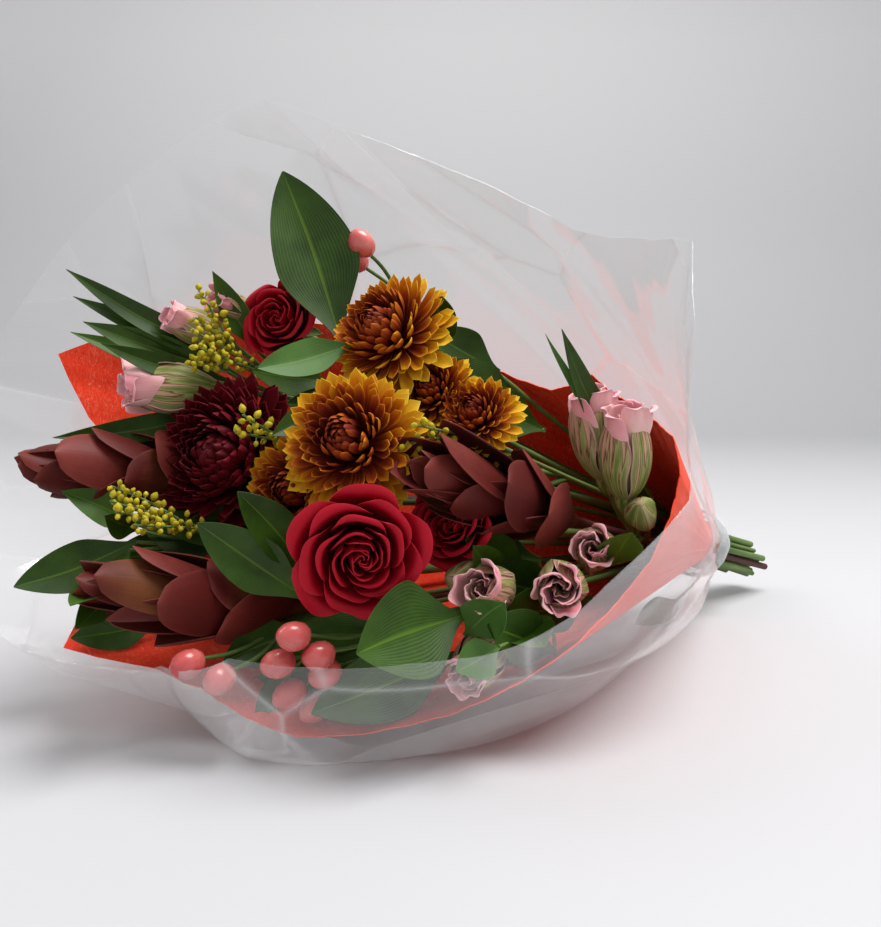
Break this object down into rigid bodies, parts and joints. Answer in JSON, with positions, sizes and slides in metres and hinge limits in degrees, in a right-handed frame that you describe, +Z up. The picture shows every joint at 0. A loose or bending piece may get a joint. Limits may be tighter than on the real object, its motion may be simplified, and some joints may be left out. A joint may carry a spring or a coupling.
{
  "type": "mixed flower bouquet",
  "caption": "Hand-tied bunch of roses, chrysanthemums, leucadendron, alstroemeria, berries and foliage, lying down in a red cloth liner and a clear film wrap gathered at a tie.",
  "frame": {"origin": "middle of the bouquet's bounding box, at the height of the surface it lies on", "axes": "-Y from the tie towards the flower heads, +Y towards the cut stems, +Z up, +X square to both; the axis of the bunch rises by 17.6 degrees towards -Y"},
  "size_m": [0.4018, 0.5218, 0.3259],
  "materials": {
    "pink_petal": "soft matte",
    "burgundy_petal": "soft matte",
    "clear_film": "clear, glossy",
    "tie_tape": "clear, glossy",
    "red_liner_cloth": "matte, fibrous",
    "yellow_bud": "matte",
    "coral_berry": "satin",
    "maroon_bract": "satin",
    "bronze_petal": "soft matte",
    "red_petal": "velvety matte",
    "dark_leaf": "satin",
    "green_stem": "satin"
  },
  "bodies": {
    "root": {"alstroemeria_bloom_front_a": "pink_petal", "alstroemeria_bloom_front_b": "pink_petal", "alstroemeria_bloom_left_a": "pink_petal", "alstroemeria_bloom_left_b": "pink_petal", "alstroemeria_bloom_left_c": "pink_petal", "alstroemeria_bloom_right_a": "pink_petal", "alstroemeria_bloom_right_b": "pink_petal", "alstroemeria_bloom_right_c": "pink_petal", "alstroemeria_bloom_right_d": "pink_petal", "alstroemeria_front_stem": "green_stem", "alstroemeria_left_stem": "green_stem", "alstroemeria_right_stem": "green_stem", "burgundy_mum_bloom": "burgundy_petal", "burgundy_mum_stem": "green_stem", "clear_wrap": "clear_film", "goldenrod_left": "yellow_bud", "goldenrod_low": "yellow_bud", "goldenrod_middle": "yellow_bud", "goldenrod_right": "yellow_bud", "hypericum_left": "coral_berry", "hypericum_low": "coral_berry", "hypericum_top": "coral_berry", "leucadendron_left": "maroon_bract", "leucadendron_low": "maroon_bract", "leucadendron_right": "maroon_bract", "mum_bloom_back": "bronze_petal", "mum_bloom_front": "bronze_petal", "mum_bloom_left": "bronze_petal", "mum_bloom_right": "bronze_petal", "mum_bloom_under": "bronze_petal", "mum_bloom_upper": "bronze_petal", "mum_spray_a": "green_stem", "mum_spray_b": "green_stem", "red_liner": "red_liner_cloth", "rose_bloom_behind": "red_petal", "rose_bloom_front": "red_petal", "rose_bloom_low": "red_petal", "rose_bloom_upper": "red_petal", "rose_stem_behind": "green_stem", "rose_stem_front": "green_stem", "rose_stem_low": "green_stem", "rose_stem_upper": "green_stem", "ruscus_left_stem": "dark_leaf", "ruscus_low_stem": "dark_leaf", "ruscus_top_stem": "dark_leaf", "tie_band": "tie_tape"}
  },
  "joints": []
}
